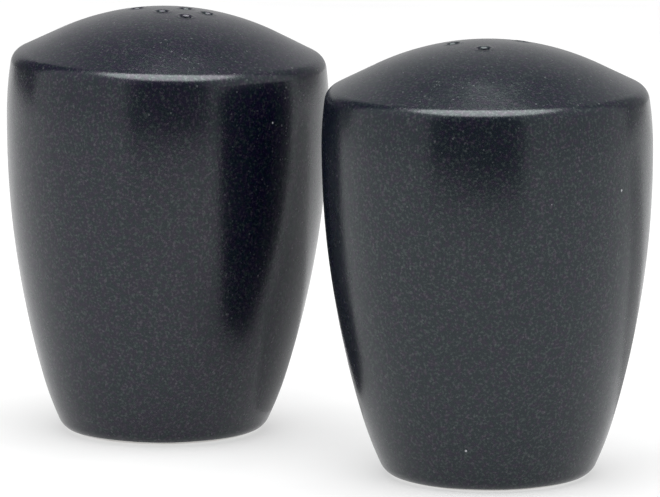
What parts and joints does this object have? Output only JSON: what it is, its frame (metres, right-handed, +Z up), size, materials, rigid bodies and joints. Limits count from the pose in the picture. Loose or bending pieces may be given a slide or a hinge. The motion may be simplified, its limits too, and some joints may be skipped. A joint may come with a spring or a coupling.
{
  "type": "salt and pepper shaker set",
  "caption": "Pair of round glazed stoneware shakers with low domed crowns pierced by pour holes, each filled through its recessed base and closed by a soft plug.",
  "frame": {"origin": "on the table under the middle of the pair, halfway between the two upright axes", "axes": "+Z up; +X from the salt shaker's axis to the pepper shaker's axis, the longest side; +Y across the pair, the shortest side"},
  "size_m": [0.1388, 0.0624, 0.0825],
  "materials": {
    "charcoal_glaze": "satin charcoal glaze with fine pale specks, bare clay on the foot",
    "stopper_rubber": "translucent pale silicone rubber, matte"
  },
  "bodies": {
    "salt_shaker": {"salt_body": "charcoal_glaze"},
    "salt_plug": {"salt_stopper": "stopper_rubber"},
    "pepper_shaker": {"pepper_body": "charcoal_glaze"},
    "pepper_plug": {"pepper_stopper": "stopper_rubber"}
  },
  "joints": [
    {"name": "pepper_lift", "type": "slide", "parent": "salt_shaker", "child": "pepper_shaker", "axis": [0, 0, 1], "range_m": [0, 0.12]},
    {"name": "salt_plug_pull", "type": "slide", "parent": "salt_shaker", "child": "salt_plug", "axis": [0, 0, -1], "range_m": [0, 0.03]},
    {"name": "pepper_plug_pull", "type": "slide", "parent": "pepper_shaker", "child": "pepper_plug", "axis": [0, 0, -1], "range_m": [0, 0.03]}
  ]
}
